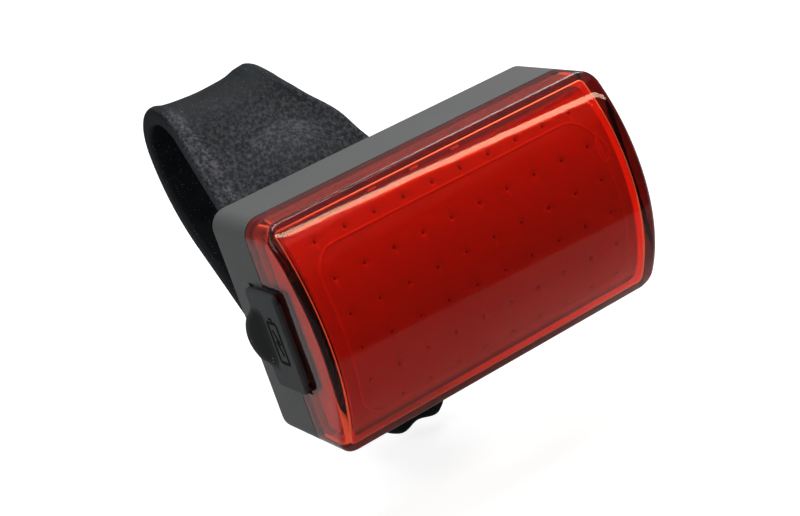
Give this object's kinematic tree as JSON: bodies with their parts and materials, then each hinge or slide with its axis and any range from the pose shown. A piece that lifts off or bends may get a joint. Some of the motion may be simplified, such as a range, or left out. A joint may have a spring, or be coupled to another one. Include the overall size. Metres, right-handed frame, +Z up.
{
  "type": "bike rear light",
  "caption": "Rear bicycle light: red bulged lens on a flat case, charging flap on one end, swivel bracket and wide rubber strap for a round tube.",
  "frame": {"origin": "on the axis of the tube that the saddle sits on, midway along the saddle", "axes": "+X along the tube and the light's long side, -Y out of the lens, +Z up as pictured"},
  "size_m": [0.0632, 0.0786, 0.0632],
  "materials": {
    "housing_plastic": "fine moulded texture, matte",
    "lens_red": "clear red acrylic, polished",
    "guide_clear": "clear moulded light guide with dimples",
    "reflector_white": "smooth white",
    "strap_rubber": "dusty black silicone rubber",
    "flap_rubber": "soft matte rubber",
    "seal_rubber": "plain rubber",
    "bracket_plastic": "glass filled nylon, fine texture",
    "washer_plastic": "natural acetal",
    "steel": "zinc plated",
    "brass": "turned",
    "board_green": "green solder mask",
    "led_white": "white package, clear top",
    "chip_black": "moulded epoxy",
    "ceramic_tan": "ceramic",
    "cell_silver": "laminate pouch",
    "foam_grey": "closed cell foam",
    "wire_red": "insulated wire",
    "wire_black": "insulated wire",
    "switch_metal": "stamped frame",
    "button_plastic": "matte"
  },
  "bodies": {
    "mount": {"bracket": "bracket_plastic", "saddle_liner": "seal_rubber", "strap_root": "strap_rubber", "wave_washer": "steel"},
    "light": {"rear_housing": "housing_plastic", "lens_cover": "lens_red", "case_gasket": "seal_rubber", "light_guide": "guide_clear", "reflector": "reflector_white", "circuit_board": "board_green", "leds": "led_white", "charge_led": "led_white", "usb_shell": "steel", "usb_contacts": "chip_black", "flap_anchor": "flap_rubber", "battery_cell": "cell_silver", "battery_foam": "foam_grey", "battery_lead_red": "wire_red", "battery_lead_black": "wire_black", "button_seal": "seal_rubber", "tact_switch": "switch_metal", "friction_washer": "washer_plastic", "swivel_insert": "brass", "swivel_screw": "steel", "case_screws": "steel", "board_screws": "steel", "control_chip": "chip_black", "charge_chip": "chip_black", "inductor": "chip_black", "capacitors": "ceramic_tan", "resistors": "chip_black"},
    "strap_tail": {"strap_tail": "strap_rubber"},
    "usb_flap": {"usb_flap": "flap_rubber"},
    "power_button": {"power_button": "button_plastic", "switch_plunger": "chip_black"}
  },
  "joints": [
    {"name": "light_swivel", "type": "hinge", "parent": "mount", "child": "light", "pos_m": [0, -0.0182, 0.009], "axis": [0, 1, 0], "range_deg": [-90, 90]},
    {"name": "strap_open", "type": "hinge", "parent": "mount", "child": "strap_tail", "pos_m": [0, 0.03185, 0.01183], "axis": [1, 0, 0], "range_deg": [0, 80], "stiffness_Nm_per_rad": 0.03, "springref_deg": -5.73},
    {"name": "flap_open", "type": "hinge", "parent": "light", "child": "usb_flap", "pos_m": [-0.0306, -0.0337, 0.009], "axis": [0, 0, 1], "range_deg": [0, 100], "stiffness_Nm_per_rad": 0.001, "springref_deg": -5.73},
    {"name": "button_press", "type": "slide", "parent": "light", "child": "power_button", "axis": [-1, 0, 0], "range_m": [0, 0.0004], "stiffness_N_per_m": 800}
  ]
}
